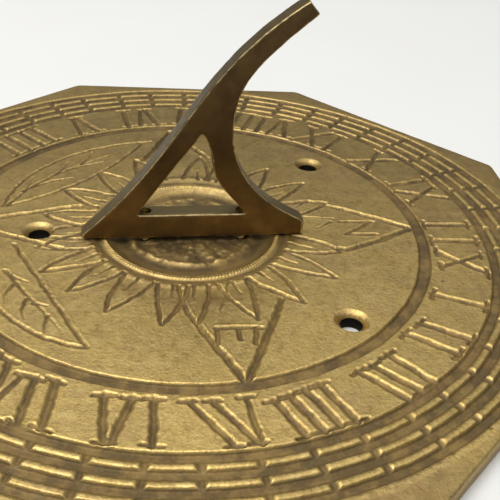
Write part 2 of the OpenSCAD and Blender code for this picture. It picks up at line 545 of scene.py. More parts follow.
# Each side of a star point, from its foot to its tip.
STAR = (
    ((43.2, 1.4), (49.9, 4.8), (55.1, 7.8), (62.8, 11.2)),
    ((32.5, 22.2), (44, 18.3), (52, 15.4), (62.6, 11.5)),
    ((-15, 35), (-12.8, 40.5), (-7, 52), (-1.2, 62)),
    ((10, 40), (10.6, 42), (5.4, 52.5), (-0.4, 62)),
    ((-39.5, -14.8), (-47, -11.5), (-60.6, -6.6)),
    ((-41.8, 6.2), (-49, 1), (-60.6, -6.2)),
    ((-10.4, -31.2), (-6.4, -42.8), (-3, -52), (0.4, -61.6)),
    ((11.8, -33.4), (8, -43), (4.4, -52), (0.8, -61.6)),
)

# Short strokes at the star's feet.
STAR_EXTRAS = (
    ((-5.5, 41), (-6.5, 32)),
    ((-4, 40), (0, 35)),
    ((-15, 34), (-11, 30)),
    ((25.8, 9.4), (31, 8.4), (37.6, 6.6)),
)

# The initials of east and north.
INITIALS = (
    ((44.2, 5.6), (44.1, 16.2)),
    ((44.6, 5.9), (49.8, 5.8)),
    ((44.8, 10.6), (48.4, 11)),
    ((45, 15), (49.6, 14.6)),
    ((-4, 43), (-4, 52)),
    ((-3.6, 51), (2.6, 43.4)),
    ((2.6, 43.4), (2.6, 52)),
)

# Outlines of the two leaves, each a cubic curve.
LEAF_EDGES = (
    ((-52.8, -12.6), (-49, -32), (-36, -50), (-9.2, -52.6)),
    ((-51.2, -15.4), (-33, -23), (-17, -36), (-9.2, -52)),
    ((51.5, -23), (40, -29.8), (24, -38), (10, -46)),
    ((51.5, -23), (50.6, -31), (44, -40), (33, -49)),
)

# The leaves' veins, with the broad end first.
LEAF_VEINS = (
    ((-9.9, -51.3), (-18, -47.6), (-26.4, -46.9)),
    ((-18, -48.4), (-28.1, -40.7), (-30, -39), (-35.2, -33.7), (-42.7, -25.1)),
    ((-28.1, -40.4), (-33, -38.4), (-37.3, -37.7)),
    ((-31.8, -37.2), (-35.3, -31.6), (-37.5, -26.8)),
    ((-20.6, -46.2), (-24.9, -40), (-26.9, -34.8)),
    ((-36, -33.4), (-40.4, -31.6), (-44, -31)),
    ((22, -46.4), (33, -38.6), (45, -29.6)),
    ((35.4, -37.2), (36.6, -33.6)),
    ((33.6, -39), (38, -39.4), (41.6, -38.2)),
    ((24.6, -44.6), (27, -39.6)),
    ((27.6, -43), (32, -44.4), (35.4, -44)),
    ((40, -33.4), (43.6, -33.6), (46.4, -33)),
)


# Middle radius and width of the ring grooves inside and outside the numerals.
INNER_RING = (64.5, 3.5)
OUTER_RINGS = ((83.3, 2.9), (87.5, 2.9), (91.7, 2.9), (95.9, 2.8))

# Radius and depth, and radius and soil, from the dish's middle out over the roped bead.
DISH_DEPTHS = (
    (0, 1.2), (15.5, 1.25), (17.2, 1.35), (18.6, 1.7), (20.2, 1.7), (21.2, 1.45), (23, 0.42),
    (23.5, 0.12), (24.5, 0.12), (25.1, 0.55), (25.7, 0.6), (26.7, 0.25), (27.7, 0), (40, 0),
)
DISH_SOIL = (
    (0, 0.6), (16, 0.6), (16.8, 0.4), (18.6, 0.95), (21, 0.62), (23.4, 0.3), (24.6, 0.35),
    (25.6, 0.8), (27.4, 0.4), (28.4, 0.1),
)


@dataclass
class Drawing:
    """All that is cut, cast and worn into the plate's face.

    Attributes:
        rings: Middle radius and width of each ring groove.
        ring_depth: Depth of the ring grooves.
        tick_from: Radius at which the ticks start.
        tick_to: Radius at which they end.
        ticks: How many ticks there are.
        bead_r: Radius of the roped bead's crest.
        strands: How many strands it shows.
        skin: How far the plain face lies under the plate's full height.
    """

    rings: tuple[Point, ...] = (INNER_RING, *OUTER_RINGS)
    ring_depth: float = 0.85
    tick_from: float = 83.0
    tick_to: float = 96.4
    ticks: int = 48
    bead_r: float = 24.0
    strands: int = 172
    skin: float = 0.1
    lines: list[Line] = field(default_factory=list)

    def __post_init__(self) -> None:
        """Draws every engraved line once."""
        for hour in HOURS:
            self.lines += hour.lines()
        self.lines += self.tick_lines() + self.ray_lines()
        leaf_edges = [bezier(edge, 14) for edge in LEAF_EDGES]
        kinds = (
            (STAR, STAR_CUT), (STAR_EXTRAS, EXTRA_CUT), (INITIALS, INITIAL_CUT), (leaf_edges, LEAF_CUT),
            (LEAF_VEINS, VEIN_CUT),
        )
        for runs, cut in kinds:
            self.lines += [Line(run, *cut) for run in runs]

    def tick_lines(self) -> list[Line]:
        """Gives the ticks across the lands of the outer rings."""
        random = np.random.default_rng(11)
        made = []
        for i in range(self.ticks):
            direction = 360 / self.ticks * (i + 0.15) + random.uniform(-0.35, 0.35)
            skew = math.degrees(random.uniform(-0.004, 0.004))
            inner = self.tick_from * ways(direction)[0]
            outer = self.tick_to * ways(direction + skew)[0]
            made.append(Line((inner, outer), *TICK_CUT))
        return made

    def ray_lines(self) -> list[Line]:
        """Gives each ray's two bowed sides and its short rib."""
        random = np.random.default_rng(5)
        made = []
        for direction, tip in RAYS:
            out, along = ways(direction)
            for side in (-1.0, 1.0):
                foot = random.uniform(3.5, 4.3)
                belly = random.uniform(2.3, 3.3)
                run = (
                    27.6 * out + side * foot * along,
                    33.0 * out + side * (foot - 0.4) * along,
                    38.2 * out + side * belly * 0.85 * along,
                    tip * out,
                )
                made.append(Line(bezier(run, 9), random.uniform(1.6, 2.4), *RAY_CUT))
            rib = random.uniform(32.0, 34.6)
            bow = random.uniform(-0.6, 0.6)
            made.append(Line((27.4 * out, rib * out + bow * along), *RIB_CUT))
        return made

    def ring_groove(self, r: Array, middle: float, width: float) -> tuple[Array, Array]:
        """Gives one ring groove's depth and soil at these radii."""
        off = np.abs(r - middle)
        half = width / 2
        sunk = self.ring_depth * (1.0 - ease(half - 0.75, half + 0.12, off))
        soil = 1.0 - ease(half - 0.6, half + 0.15, off)
        return sunk, soil

    def medallion(self, r: Array, turn: Array, x: Array, y: Array) -> tuple[Array, Array]:
        """Gives the dish, its worn relief, the roped bead and the hollow round it.

        Args:
            r: How far the points are from the plate's middle.
            turn: Their direction in radians.
            x: Their place east of the middle.
            y: Their place north of the middle.

        Returns:
            The depth and the soil at each point.
        """
        sunk = np.interp(r, *zip(*DISH_DEPTHS))
        crest = np.exp(-(((r - self.bead_r) / 0.75) ** 2))
        rope = np.sin(turn * self.strands + (r - self.bead_r) * 2.6)
        sunk += crest * (0.085 * rope + 0.05)
        # The worn relief inside the dish: petals, lumps and a low boss.
        inside = 1.0 - ease(16.5, 18.6, r)
        petals = np.cos(turn * 16 + 0.5 * Grain(6.0, 31).at(x, y)) * ease(5.0, 9.0, r)
        lumps = Grain(2.6, 32).at(x, y) + 0.6 * Grain(1.1, 33).at(x, y)
        boss = ease(0.0, 1.0, (7.0 - r) / 3.0)
        sunk += inside * (-0.16 * petals - 0.26 * lumps - 0.3 * boss)
        # The raised lip round the relief.
        lip = np.exp(-(((r - 16.6) / 0.8) ** 2))
        sunk -= lip * (0.32 + 0.12 * Grain(3.0, 34).at(x, y))
        soil = np.interp(r, *zip(*DISH_SOIL))
        soil += inside * 0.35 * ease(-0.4, 1.0, -lumps)
        return sunk, np.clip(soil, 0.0, 1.0)

    def at(self, x: Array, y: Array) -> tuple[Array, Array]:
        """Gives the face's depth and its soil at points on the plan.

        Args:
            x: Where the points are, east of the middle.
            y: Where they are, north of the middle.

        Returns:
            The depth in millimetres and the soil from 0 to 1.
        """
        r = np.hypot(x, y)
        turn = np.arctan2(y, x)
        waver = Grain(3.4, 1)
        shake = Grain(1.05, 2)
        wx = x + 0.2 * waver.at(x, y) + 0.17 * shake.at(x, y)
        wy = y + 0.2 * waver.at(x + 90, y) + 0.17 * shake.at(x + 90, y)
        marks = Marks(np.zeros(len(x)), np.zeros(len(x)), np.zeros(len(x)))
        for line in self.lines:
            line.press(wx, wy, marks)
        sunk = marks.sunk
        soil = marks.soil
        wr = r + 0.13 * Grain(7.0, 3).at(x, y) + 0.05 * shake.at(x, y)
        for middle, width in self.rings:
            ring_sunk, ring_soil = self.ring_groove(wr, middle, width)
            sunk = np.maximum(sunk, ring_sunk)
            soil = np.maximum(soil, ring_soil)
        dished, dish_soil = self.medallion(r, turn, x, y)
        sunk = np.maximum(sunk, dished)
        soil = np.where(r < 28.6, np.maximum(soil, dish_soil), soil)
        # The shallow hollow round the bead, and a darker tone towards the plate's edge.
        hollow = ease(28.2, 29.6, r) * (1.0 - ease(30.5, 36.5, r))
        sunk += 0.16 * hollow
        soil = np.maximum(soil, 0.5 * hollow * (0.7 + 0.3 * Grain(4.0, 9).at(x, y)))
        soil = np.maximum(soil, ease(97.4, 99.4, r) * (0.54 + 0.1 * Grain(9.0, 10).at(x, y)))
        # The casting's own unevenness, broad and fine.
        uneven = 0.035 * Grain(21.0, 4).at(x, y) + 0.009 * Grain(2.6, 5).at(x, y)
        uneven += 0.006 * Grain(0.9, 6).at(x, y)
        lip = marks.lip * (1.0 - ease(0.0, 0.12, sunk))
        return sunk + self.skin + uneven - lip, np.clip(soil, 0.0, 1.0)


# ---- the plate


@dataclass
class Zone:
    """One round part of the plate, closed all over and as thick as the plate.

    Attributes:
        name: The piece's name.
        radii: The radii at which its face has a ring of vertices.
        steps: How many steps it has round the plate.
    """

    name: str
    radii: list[float]
    steps: int

    def build(self, drawing: Drawing) -> Piece:
        """Spins the zone and presses the drawing into its face.

        Args:
            drawing: What is cut into the plate's face.

        Returns:
            The zone, with its face pressed.
        """
        top = [(r, FACE) for r in self.radii]
        foot = [(self.radii[-1], 0.0), (self.radii[0], 0.0)]
        piece = spin_profile(self.name, np.array(top + foot), self.steps)
        points = read_points(piece)
        face = points[:, 2] > FACE - 0.01
        sunk, _ = drawing.at(points[face, 0], points[face, 1])
        points[face, 2] = FACE - sunk
        write_points(piece, points)
        return piece


@dataclass
class DialPlate:
    """The octagonal plate with its drawing, its fixing holes and its two screw holes.

    Attributes:
        half: Half its width across flats.
        rim_from: The radius at which its last piece, the rim, starts.
        corner_power: How sharp the octagon's corners are.
        arris: The radius of its rounded upper edge.
        foot_cut: The width of the cut along its lower edge.
        rim_wear: How uneven its edge is.
        holes: Each fixing hole's place, and the zone that it is cut in.
    """

    half: float = 100.0
    rim_from: float = 98.0
    corner_power: float = 260.0
    arris: float = 0.8
    foot_cut: float = 0.35
    rim_wear: float = 0.09
    hole_r: float = 2.8
    sink_r: float = 4.5
    holes: tuple[tuple[Point, str], ...] = (
        ((41.2, 38.1), "plate_compass"),
        ((-38.8, 38.1), "plate_compass"),
        ((3.2, -40.7), "plate_sun"),
    )
    shank_hole_r: float = 2.2

    def zones(self) -> list[Zone]:
        """Lists the plate's round zones, finest where the drawing is finest."""
        middle = [0.0, 0.9, 1.6, 2.2, 2.7] + even(3.1, 22.4, 0.27)
        outer = even(81.2, 81.8, 0.3)
        for ring, _ in OUTER_RINGS:
            outer += even(ring - 1.5, ring - 0.5, 0.17) + [ring] + even(ring + 0.5, ring + 1.5, 0.17)
            outer.append(ring + 2.1)
        outer = sorted(r for r in set(round(r, 4) for r in outer) if r < self.rim_from) + [self.rim_from]
        band = [62.0] + even(62.5, 63.6, 0.16) + even(64.0, 65.0, 0.33) + even(65.4, 66.5, 0.16)
        band += even(66.85, 81.2, 0.34)
        return [
            Zone("plate_dish", middle, FINE_STEPS // 2),
            Zone("plate_bead", even(22.4, 28.0, 0.16), FINE_STEPS),
            Zone("plate_sun", even(28.0, 46.2, 0.33), FINE_STEPS),
            Zone("plate_compass", even(46.2, 62.0, 0.33), FINE_STEPS),
            Zone("plate_hours", band, FINE_STEPS),
            Zone("plate_rings", outer, FINE_STEPS),
        ]

    def rim_rows(self) -> Array:
        """Lists the rim's rings, from the face round the arris to the underside.

        Returns:
            For each ring its share of the way out to the edge, its offset from there, and its height.
        """
        top = [(share, -share * self.arris, FACE) for share in even(0.0, 0.8, 0.2)]
        bend = np.radians(even(0.0, 90.0, 18.0))
        out = self.arris * (np.sin(bend) - 1)
        down = self.arris * (np.cos(bend) - 1)
        arris = np.column_stack([np.ones(len(bend)), out, FACE + down])
        foot = [(1.0, 0.0, 1.6), (1.0, 0.0, self.foot_cut), (1.0, -self.foot_cut, 0.0)]
        return np.vstack([top, arris, foot, [(0.5, 0.0, 0.0), (0.0, 0.0, 0.0)]])

    def rim(self, drawing: Drawing) -> Piece:
        """Spins the rim and pulls it out to the octagon with soft corners."""
        start = self.rim_from
        shares, offsets, heights = self.rim_rows().T
        radii = start + shares * (self.half - start) + offsets
        piece = spin_profile("plate_rim", np.column_stack([radii, heights]), FINE_STEPS)
        points = read_points(piece)
        r = np.hypot(points[:, 0], points[:, 1])
        turn = np.arctan2(points[:, 1], points[:, 0])
        row = np.argmin(np.hypot(r[:, None] - radii, points[:, 2:] - heights), axis=1)
        total = np.zeros(len(points))
        for k in range(8):
            total += np.maximum(0.0, np.cos(turn - k * math.pi / 4)) ** self.corner_power
        edge = self.half * total ** (-1.0 / self.corner_power)
        r = start + shares[row] * (edge - start) + offsets[row]
        points = np.column_stack([r * np.cos(turn), r * np.sin(turn), heights[row]])
        sunk, _ = drawing.at(points[:, 0], points[:, 1])
        points[:, 2] -= sunk * ease(1.2, 3.4, points[:, 2])
        rough = self.rim_wear * (Grain(5.0, 12).at(points[:, 0] + points[:, 1], points[:, 2] * 2) - 1.0)
        rough *= ease(0.2, 1.6, r - start) * ease(0.0, 0.6, heights[row])
        points[:, 0] += rough * np.cos(turn)
        points[:, 1] += rough * np.sin(turn)
        write_points(piece, points)
        outward(piece)
        return piece

    def funnel(self, place: Point, rows: tuple[Point, ...]) -> Piece:
        """Makes a round cutter from a cylinder whose end face is extruded and scaled.

        Args:
            place: Where its axis stands on the plan.
            rows: Radius and height of each of its rings, from the first upwards.

        Returns:
            The cutter.
        """
        (radius, low), (_, high) = rows[0], rows[1]
        bpy.ops.mesh.primitive_cylinder_add(
            vertices=96, radius=radius * MM, depth=(high - low) * MM,
            location=(place[0] * MM, place[1] * MM, (low + high) / 2 * MM),
        )
        cutter = newest("cutter")
        apply_place(cutter)
        centre = (place[0] * MM, place[1] * MM, 0.0)
        for (before, start), (after, end) in zip(rows[1:-1], rows[2:]):
            wanted = [face.normal.z > 0.9 for face in cutter.data.polygons]
            edit_selected(cutter, cutter.data.polygons, wanted, "FACE")
            bpy.ops.mesh.extrude_region_move(
                TRANSFORM_OT_translate={"value": (0.0, 0.0, (end - start) * MM)}
            )
            share = after / before
            bpy.ops.transform.resize(value=(share, share, 1.0), center_override=centre)
            switch("OBJECT")
        return cutter

    def bore(self, zones: dict[str, Piece]) -> None:
        """Drills and countersinks the fixing holes, and the screw holes from below."""
        sink = self.sink_r - self.hole_r
        rows = ((self.hole_r, -1.0), (self.hole_r, FACE - sink), (self.sink_r + 1.0, FACE + 1.0))
        for place, zone in self.holes:
            cut_away(zones[zone], self.funnel(place, rows))
        wide = SCREW_HEAD_R + 1.0
        low = SCREW_HEAD_SINK - 1.0
        narrow = SCREW_HEAD_SINK + SCREW_HEAD_R - self.shank_hole_r
        rows = (
            (wide, low - 0.001), (wide, low), (self.shank_hole_r, narrow), (self.shank_hole_r, FACE + 1.0)
        )
        for place in screw_places():
            cut_away(zones["plate_dish"], self.funnel(place, rows))

    def soil(self, piece: Piece, drawing: Drawing) -> None:
        """Writes how soiled each point of a zone is, and by how deep it lies marks the bores' walls for
        painted shade and the lower part of the plate's outer edge.
        """
        points = read_points(piece)
        sunk, soil = drawing.at(points[:, 0], points[:, 1])
        under = FACE - sunk - points[:, 2]
        sides = ease(0.0, 0.2, np.hypot(points[:, 0], points[:, 1]) - self.rim_from - 0.3)
        write_attribute(piece, "soil", np.maximum(soil, 0.6 * ease(0.05, 0.4, under)))
        # The bores' walls, which the finish paints near-black as painted shade.
        write_attribute(piece, "bore", ease(1.0, 1.7, under) * (1.0 - sides))
        write_attribute(piece, "side", ease(0.9, 1.6, under) * sides)

    def build(self, material: Finish) -> None:
        """Builds, drills and finishes the whole plate."""
        drawing = Drawing()
        zones = {zone.name: zone.build(drawing) for zone in self.zones()}
        zones["plate_rim"] = self.rim(drawing)
        self.bore(zones)
        for piece in zones.values():
            self.soil(piece, drawing)
            finish_piece(piece, PLATE, material, 78.0)


# ---- the gnomon


@dataclass
class Gnomon:
    """The cast gnomon: a foot, a style with curved edges, and an open window.

    Outlines run along the foot from its south toe and up from the plate's face.
    """

    thick: float = 5.5
    length: float = 60.4
    drawn_length: float = 59.7
    corner: float = 1.5
    bar: float = 7.0
    tap_r: float = 1.65
    voxel: float = 0.32
    wear: float = 0.1

    def outline(self) -> Array:
        """Gives the gnomon's outer outline."""
        style = bezier(((0.0, 1.0), (28.2, 26.5), (27.0, 44.5), (55.2, 64.1)), 60)
        arm = bezier(((57.8, 61.0), (45.5, 49.7), (38.3, 44.7), (39.1, 29.0)), 40)
        heel = bezier(((39.2, 28.0), (42.4, 8.2), (62.5, 5.2), (59.7, 3.0)), 40)
        return np.vstack([[(0.0, 0.0)], style, arm, heel, [(59.7, 0.0)]])

    def window(self) -> Array:
        """Gives the outline of the opening between the bar and the style."""
        arch = bezier(((31.3, 30.5), (37.4, 19.2), (29.4, 21.8), (43.6, self.bar)), 30)
        return np.vstack([[(14.6, self.bar)], arch])

    def slab(self, name: str, outline: Array, thick: float) -> Piece:
        """Fills an outline and extrudes it to a thickness.

        Args:
            name: The piece's name.
            outline: Distance along the foot and height, one row for each point.
            thick: The slab's thickness, half to each side of the gnomon's middle.

        Returns:
            The slab, in the gnomon's own frame.
        """
        bpy.ops.mesh.primitive_circle_add(vertices=len(outline), radius=MM, fill_type="NGON")
        piece = newest(name)
        run = outline[:, 0] * self.length / self.drawn_length - self.length / 2
        rise = outline[:, 1] + FACE
        write_points(piece, np.column_stack([np.full(len(run), -thick / 2), run, rise]))
        switch("EDIT")
        bpy.ops.mesh.select_all(action="SELECT")
        bpy.ops.mesh.extrude_region_move(TRANSFORM_OT_translate={"value": (thick * MM, 0.0, 0.0)})
        bpy.ops.mesh.select_all(action="SELECT")
        bpy.ops.mesh.normals_make_consistent(inside=False)
        switch("OBJECT")
        return piece

    def envelope(self) -> Piece:
        """Makes the block with rounded ends that the gnomon's foot fits in."""
        bpy.ops.mesh.primitive_cube_add(size=MM, location=(0.0, 0.0, 38.0 * MM))
        block = newest("envelope")
        block.scale = (self.thick, self.length, 72.0)
        apply_place(block)
        heights = [vertex.co.z for vertex in block.data.vertices]
        wanted = [abs(heights[e.vertices[0]] - heights[e.vertices[1]]) > MM for e in block.data.edges]
        edit_selected(block, block.data.edges, wanted, "EDGE")
        bpy.ops.mesh.bevel(offset=self.corner * MM, segments=12, affect="EDGES")
        switch("OBJECT")
        return block

    def weather(self, piece: Piece) -> None:
        """Gives the casting its slight unevenness, and keeps it within its size."""
        points = read_points(piece)
        normals = read_normals(piece)
        flat = points[:, 1] + 0.37 * points[:, 0]
        uneven = 0.6 * Grain(6.0, 21).at(flat, points[:, 2]) + 0.4 * Grain(1.7, 22).at(flat, points[:, 2])
        points += normals * (self.wear * (uneven - 0.4))[:, None]
        half = self.thick / 2
        points[:, 0] = np.clip(points[:, 0], -half, half)
        points[:, 2] = np.where(points[:, 2] < FACE + 0.12, FACE, points[:, 2])
        write_points(piece, points)

    def mark(self, piece: Piece) -> None:
        """Writes the rounded edges, the upward faces and the height, which the finish uses for painted
        highlights, painted top light with rubbing, and painted shade.
        """
        points = read_points(piece)
        normals = read_normals(piece)
        lean = np.abs(normals[:, 0])
        # The rounded edges, which the finish paints pale as a painted highlight.
        arris = ease(0.28, 0.6, lean) * (1.0 - ease(0.8, 0.97, lean))
        write_attribute(piece, "arris", arris)
        write_attribute(piece, "upper", ease(0.15, 0.75, normals[:, 2]))
        write_attribute(piece, "height", (points[:, 2] - FACE) / 64.0)

    def build(self, material: Finish) -> None:
        """Builds, drills and finishes the gnomon."""
        piece = self.slab(GNOMON + "_casting", self.outline(), self.thick)
        cut_away(piece, self.slab("window", self.window(), self.thick * 2))
        block = self.envelope()
        apply_modifier(piece, "BOOLEAN", operation="INTERSECT", solver="MANIFOLD", object=block)
        bpy.data.objects.remove(block)
        apply_modifier(piece, "REMESH", mode="VOXEL", voxel_size=self.voxel * MM)
        apply_modifier(piece, "SMOOTH", factor=0.5, iterations=9)
        self.weather(piece)
        for side in (-0.5, 0.5):
            bpy.ops.mesh.primitive_cylinder_add(
                vertices=64, radius=self.tap_r * MM, depth=20 * MM,
                location=(0.0, side * SCREW_GAP * MM, (FACE + self.bar - 7.0) * MM),
            )
            drill = newest("drill")
            apply_place(drill)
            cut_away(piece, drill)
        self.mark(piece)
        turn = Matrix.Rotation(math.radians(FOOT_TURN), 4, "Z")
        piece.data.transform(Matrix.Translation((FOOT_PLACE[0] * MM, FOOT_PLACE[1] * MM, 0.0)) @ turn)
        self.keep_in_box(piece)
        finish_piece(piece, GNOMON, material, 60.0)

    def keep_in_box(self, piece: Piece) -> None:
        """Holds every point within the frame's own box for the gnomon."""
        low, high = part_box(GNOMON)
        points = np.clip(read_points(piece), np.array(low) / MM, np.array(high) / MM)
        write_points(piece, points)


# ---- the screws


@dataclass
class GnomonScrews:
    """Two slotted countersunk machine screws, put in from below."""

    shank_r: float = 2.0
    crest_r: float = 1.62
    thread_deep: float = 0.28
    pitch: float = 0.7
    seat: float = SCREW_HEAD_SINK
    shank_top: float = 2.7
    tip: float = 10.1
    slot_w: float = 1.1
    slot_h: float = 0.9
    turns: tuple[float, ...] = (23.0, -38.0)

    def blank(self) -> Piece:
        """Spins one screw on the upright axis and runs its thread round it."""
        head = [(0.0, self.seat), (3.0, self.seat), (3.55, self.seat + 0.03), (3.72, self.seat + 0.1)]
        head += [(3.7, self.seat + 0.2), (2.86, 1.1), (self.shank_r, self.seat + 1.76)]
        shank = [(self.shank_r, self.shank_top - 0.15), (self.shank_r - 0.1, self.shank_top)]
        thread = [(self.crest_r, z) for z in even(self.shank_top + 0.1, self.tip - 0.35, 0.1)]
        rows = head + shank + thread + [(1.25, self.tip), (0.0, self.tip)]
        piece = spin_profile("gnomon_screw", np.array(rows), 64)
        points = read_points(piece)
        r = np.hypot(points[:, 0], points[:, 1])
        turn = np.arctan2(points[:, 1], points[:, 0]) / math.tau
        phase = np.mod(points[:, 2] / self.pitch - turn, 1.0)
        valley = np.abs(phase - 0.5) * 2.0
        run = ease(0.0, 0.5, points[:, 2] - self.shank_top - 0.1) * ease(1.2, 1.5, r)
        share = 1.0 - self.thread_deep * valley * run / np.maximum(r, 0.1)
        points[:, 0] *= share
        points[:, 1] *= share
        write_points(piece, points)
        return piece

    def cut_slot(self, piece: Piece) -> None:
        """Saws the slot across the head."""
        high = self.seat + self.slot_h
        bpy.ops.mesh.primitive_cube_add(size=MM, location=(0.0, 0.0, (high - 1.0) / 2 * MM))
        saw = newest("saw")
        saw.scale = (12.0, self.slot_w, high + 1.0)
        apply_place(saw)
        cut_away(piece, saw)

    def build(self, material: Finish) -> None:
        """Builds one screw, copies it, and puts both in their holes."""
        first = self.blank()
        self.cut_slot(first)
        second = first.copy()
        second.data = first.data.copy()
        bpy.context.scene.collection.objects.link(second)
        names = ("gnomon_screw_north", "gnomon_screw_south")
        for piece, name, place, turn in zip((first, second), names, screw_places(), self.turns):
            piece.name = name
            piece.data.name = name
            move = Matrix.Translation((place[0] * MM, place[1] * MM, 0.0))
            piece.data.transform(move @ Matrix.Rotation(math.radians(turn), 4, "Z"))
            finish_piece(piece, SCREWS, material, 40.0)


# ---- finishes


class NodeTree:
    """The nodes of a material or of the sky, put together one by one."""

    def __init__(self, owner: bpy.types.ID, place: str = "Object") -> None:
        """Empties the owner's nodes and starts them with the coordinates named by place."""
        self.owner = owner
        owner.use_nodes = True
        self.tree = owner.node_tree
        self.tree.nodes.clear()
        self.place = self.add("ShaderNodeTexCoord").outputs[place]

    def add(self, kind: str, **settings: object) -> bpy.types.Node:
        """Adds a node and sets its options."""
        node = self.tree.nodes.new(kind)
        for key, value in settings.items():
            setattr(node, key, value)
        return node

    def feed(self, socket: Socket, value: object) -> None:
        """Links a socket into an input, or sets the input's own value."""
        if isinstance(value, Socket):
            self.tree.links.new(value, socket)
        else:
            socket.default_value = value

    def attribute(self, name: str) -> Socket:
        """Reads a number kept on the mesh."""
        return self.add("ShaderNodeAttribute", attribute_name=name).outputs["Fac"]

    def part(self, vector: Socket, axis: str) -> Socket:
        """Gives one axis of a vector."""
        node = self.add("ShaderNodeSeparateXYZ")
        self.feed(node.inputs[0], vector)
        return node.outputs[axis]

    def stretched(self, scale: tuple[float, float, float], turn: float = 0.0) -> Socket:
        """Gives the piece's own coordinates, scaled and turned about the upright axis."""
        node = self.add("ShaderNodeMapping")
        self.feed(node.inputs["Vector"], self.place)
        node.inputs["Scale"].default_value = scale
        node.inputs["Rotation"].default_value = (0.0, 0.0, turn)
        return node.outputs["Vector"]

    def noise(
        self, size: float, detail: float = 2.0, rough: float = 0.5, vector: object = None
    ) -> Socket:
        """Gives soft noise whose patches are about size millimetres across."""
        node = self.add("ShaderNodeTexNoise")
        self.feed(node.inputs["Vector"], self.place if vector is None else vector)
        node.inputs["Scale"].default_value = 1.0 / (size * MM)
        node.inputs["Detail"].default_value = detail
        node.inputs["Roughness"].default_value = rough
        return node.outputs[0]

    def span(
        self, value: object, low: float, high: float, start: float = 0.0, end: float = 1.0,
        kind: str = "SMOOTHSTEP",
    ) -> Socket:
        """Maps a value from one span to another, held at the ends and smooth unless kind says otherwise."""
        node = self.add("ShaderNodeMapRange", interpolation_type=kind)
        self.feed(node.inputs[0], value)
        for i, number in enumerate((low, high, start, end), 1):
            node.inputs[i].default_value = number
        return node.outputs[0]

    def math(self, operation: str, a: object, b: object) -> Socket:
        """Works out one sum on two values."""
        node = self.add("ShaderNodeMath", operation=operation)
        self.feed(node.inputs[0], a)
        self.feed(node.inputs[1], b)
        return node.outputs[0]

    def mix(self, share: object, a: object, b: object, blend: str = "MIX") -> Socket:
        """Mixes two colours by a share."""
        node = self.add("ShaderNodeMix", data_type="RGBA", blend_type=blend)
        self.feed(node.inputs[0], share)
        self.feed(node.inputs[6], a)
        self.feed(node.inputs[7], b)
        return node.outputs[2]

    def bump(self, height: object, distance: float, strength: float, normal: object = None) -> object:
        """Turns a height into a normal; distance is the height's size in millimetres."""
        node = self.add("ShaderNodeBump")
        node.inputs["Strength"].default_value = strength
        node.inputs["Distance"].default_value = distance * MM
        self.feed(node.inputs["Height"], height)
        if normal is not None:
            self.feed(node.inputs["Normal"], normal)
        return node.outputs["Normal"]

    def finish(self, colour: object, metal: object, rough: object, normal: object) -> Finish:
        """Closes the material with one shader and gives it back."""
        shader = self.add("ShaderNodeBsdfPrincipled")
        self.feed(shader.inputs["Base Color"], colour)
        self.feed(shader.inputs["Metallic"], metal)
        self.feed(shader.inputs["Roughness"], rough)
        self.feed(shader.inputs["Normal"], normal)
        self.feed(self.add("ShaderNodeOutputMaterial").inputs[0], shader.outputs[0])
        return self.owner


